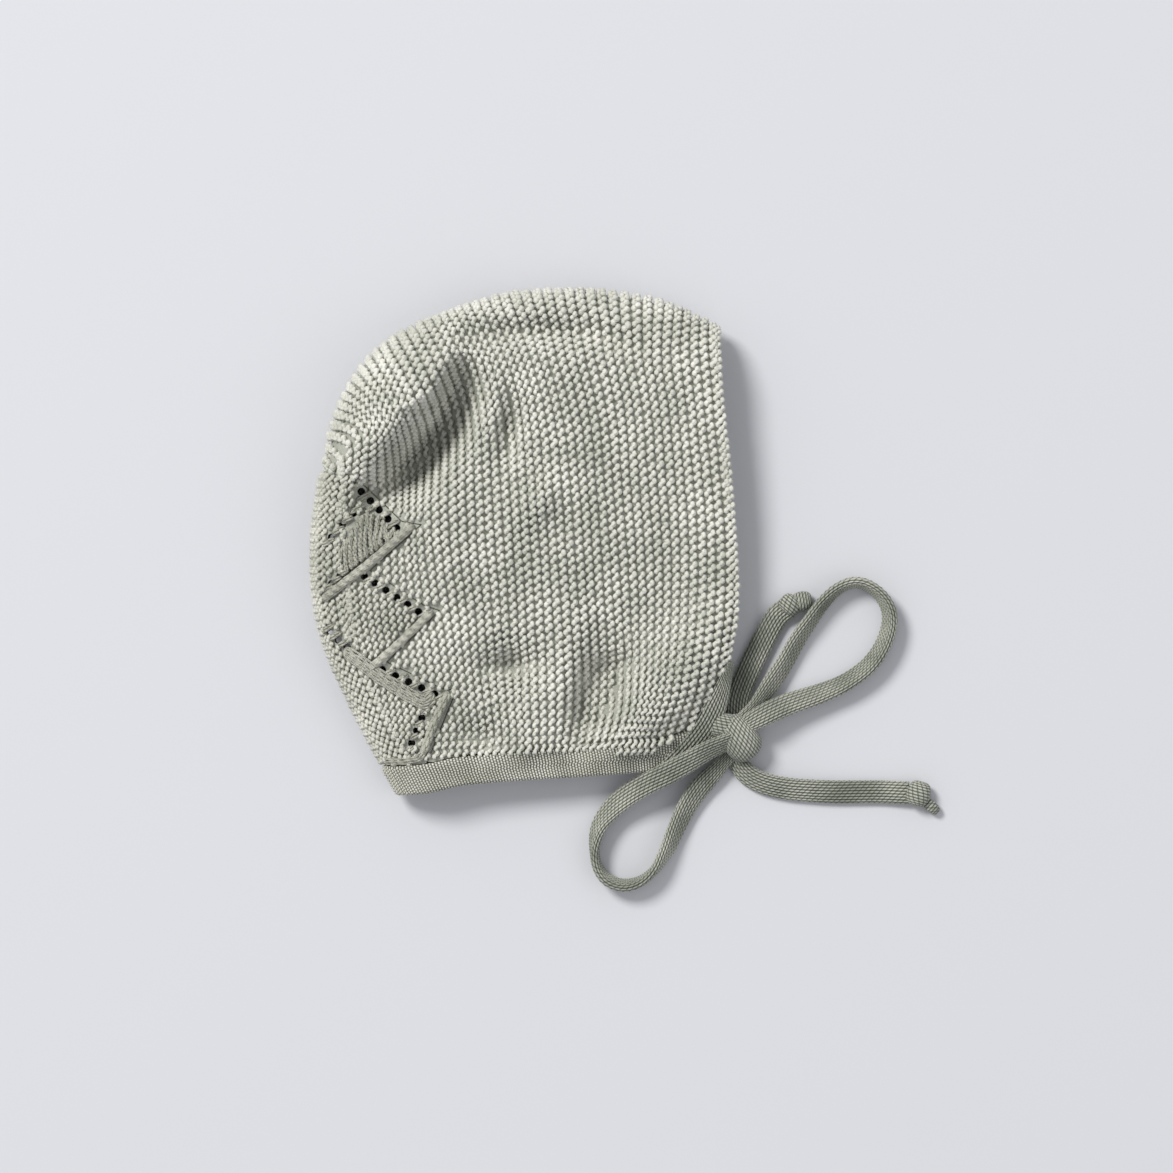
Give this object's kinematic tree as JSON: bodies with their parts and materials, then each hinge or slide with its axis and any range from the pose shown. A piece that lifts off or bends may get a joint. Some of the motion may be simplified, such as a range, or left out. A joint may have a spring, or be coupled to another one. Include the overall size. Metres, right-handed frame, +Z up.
{
  "type": "baby bonnet",
  "caption": "Knitted baby bonnet lying folded on its side, with a lace panel round the back, a neck band and ties in a bow.",
  "frame": {"origin": "on the surface that the bonnet lies on, under the middle of the hood's box, ties left out", "axes": "+X from the back of the head to the face edge, +Y from the nape to the crown, +Z up through the two layers"},
  "size_m": [0.208, 0.2025, 0.0359],
  "materials": {
    "garter_knit": "matt grey-green cotton in garter stitch",
    "lace_knit": "matt grey-green cotton lace with eyelets and twisted bars",
    "band_knit": "matt grey-green cotton, finely knitted and pressed",
    "tie_tape": "grey-green flat knitted tape with a soft sheen"
  },
  "bodies": {
    "root": {"hood_body": "garter_knit", "lace_back": "lace_knit", "neck_band": "band_knit", "bow_knot": "tie_tape", "tie_1_loop": "tie_tape", "tie_1_tail": "tie_tape", "tie_1_end_knot": "tie_tape", "tie_2_loop": "tie_tape", "tie_2_tail": "tie_tape", "tie_2_end_knot": "tie_tape"}
  },
  "joints": []
}
